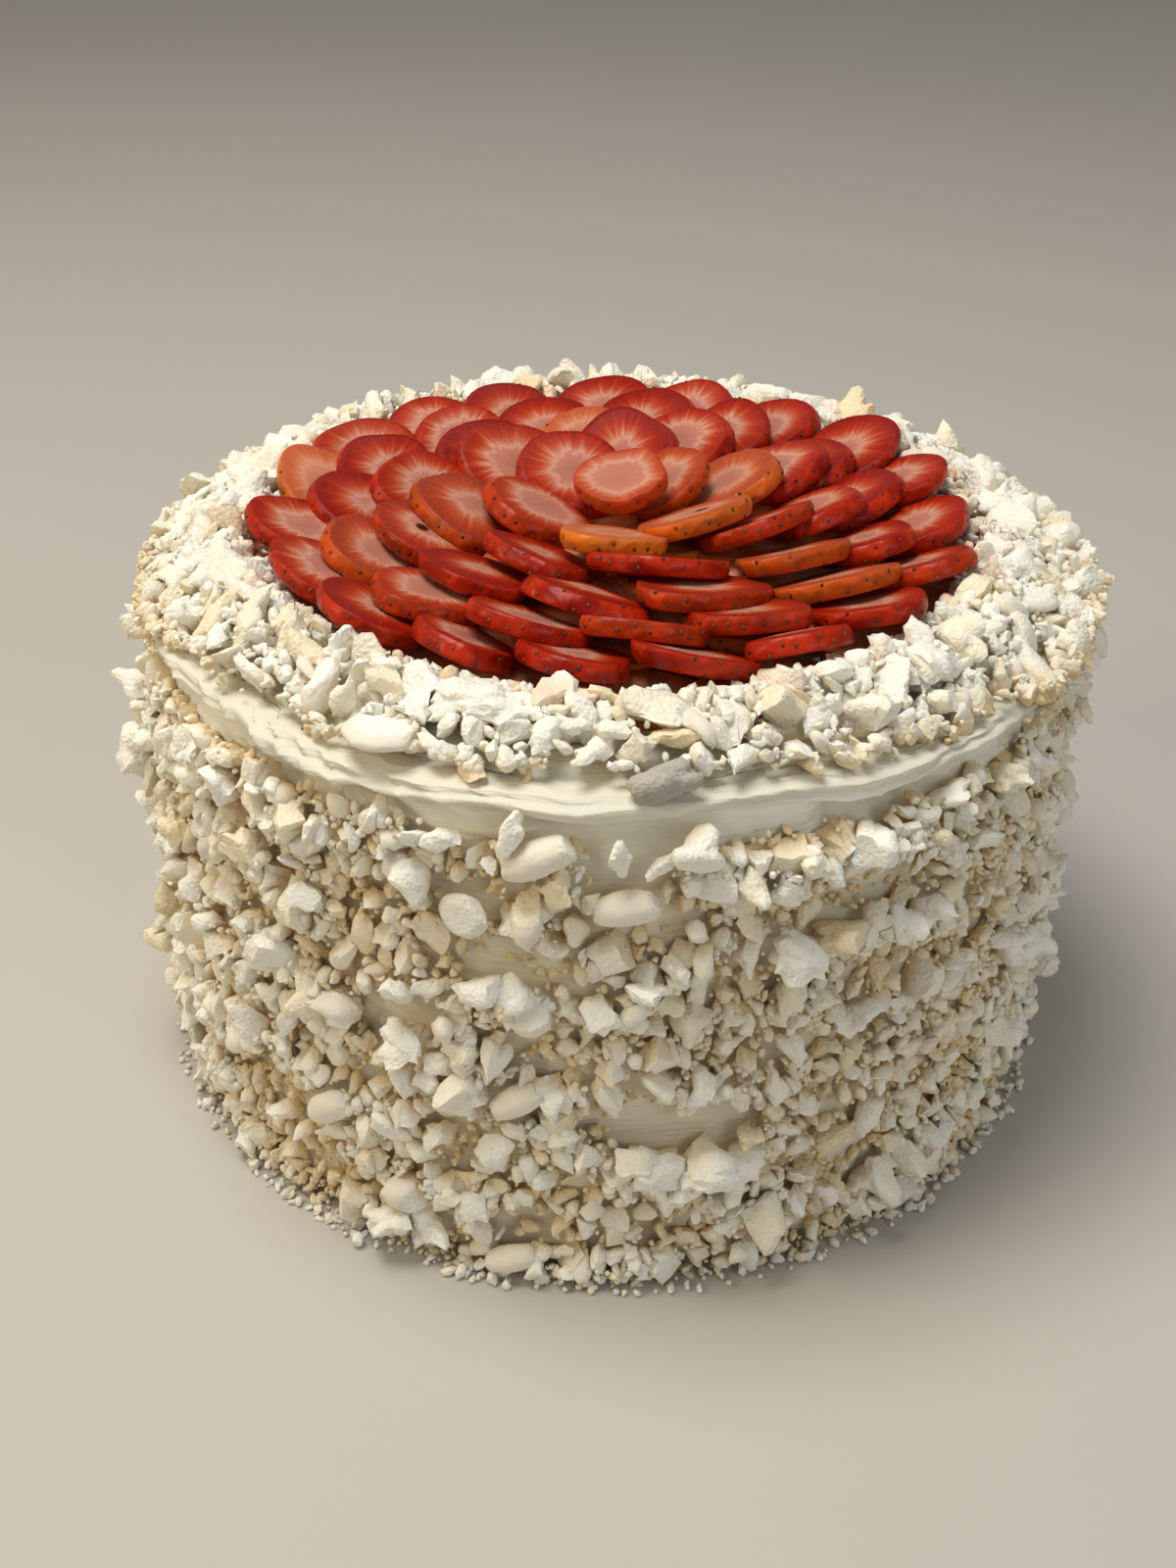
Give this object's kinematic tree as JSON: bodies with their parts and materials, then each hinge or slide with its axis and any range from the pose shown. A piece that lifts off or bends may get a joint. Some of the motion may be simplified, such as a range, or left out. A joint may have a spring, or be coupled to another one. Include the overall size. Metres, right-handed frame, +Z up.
{
  "type": "chaja cake",
  "caption": "Tall round cake coated in cream and broken meringue, with thin strawberry slices laid as a rosette on top.",
  "frame": {"origin": "centre of the flat underside", "axes": "+Z up through the middle of the rosette; -Y is the front that the picture shows, +X its right"},
  "size_m": [0.2188, 0.22, 0.1422],
  "materials": {
    "cream_and_meringue": "matte",
    "strawberry": "wet gloss"
  },
  "bodies": {
    "root": {"cake": "cream_and_meringue", "slice_centre": "strawberry", "slice_ring1_01": "strawberry", "slice_ring1_02": "strawberry", "slice_ring1_03": "strawberry", "slice_ring1_04": "strawberry", "slice_ring1_05": "strawberry", "slice_ring1_06": "strawberry", "slice_ring1_07": "strawberry", "slice_ring1_08": "strawberry", "slice_ring1_09": "strawberry", "slice_ring1_10": "strawberry", "slice_ring1_11": "strawberry", "slice_ring1_12": "strawberry", "slice_ring1_13": "strawberry", "slice_ring1_14": "strawberry", "slice_ring1_15": "strawberry", "slice_ring1_16": "strawberry", "slice_ring1_17": "strawberry", "slice_ring1_18": "strawberry", "slice_ring1_19": "strawberry", "slice_ring2_01": "strawberry", "slice_ring2_02": "strawberry", "slice_ring2_03": "strawberry", "slice_ring2_04": "strawberry", "slice_ring2_05": "strawberry", "slice_ring2_06": "strawberry", "slice_ring2_07": "strawberry", "slice_ring2_08": "strawberry", "slice_ring2_09": "strawberry", "slice_ring2_10": "strawberry", "slice_ring2_11": "strawberry", "slice_ring2_12": "strawberry", "slice_ring2_13": "strawberry", "slice_ring2_14": "strawberry", "slice_ring2_15": "strawberry", "slice_ring3_01": "strawberry", "slice_ring3_02": "strawberry", "slice_ring3_03": "strawberry", "slice_ring3_04": "strawberry", "slice_ring3_05": "strawberry", "slice_ring3_06": "strawberry", "slice_ring3_07": "strawberry", "slice_ring3_08": "strawberry", "slice_ring3_09": "strawberry", "slice_ring3_10": "strawberry", "slice_ring3_11": "strawberry", "slice_ring4_01": "strawberry", "slice_ring4_02": "strawberry", "slice_ring4_03": "strawberry", "slice_ring4_04": "strawberry", "slice_ring4_05": "strawberry", "slice_ring4_06": "strawberry", "slice_ring4_07": "strawberry", "slice_ring5_01": "strawberry", "slice_ring5_02": "strawberry", "slice_ring5_03": "strawberry", "slice_ring5_04": "strawberry", "slice_ring5_05": "strawberry", "under_layer": "strawberry"}
  },
  "joints": []
}
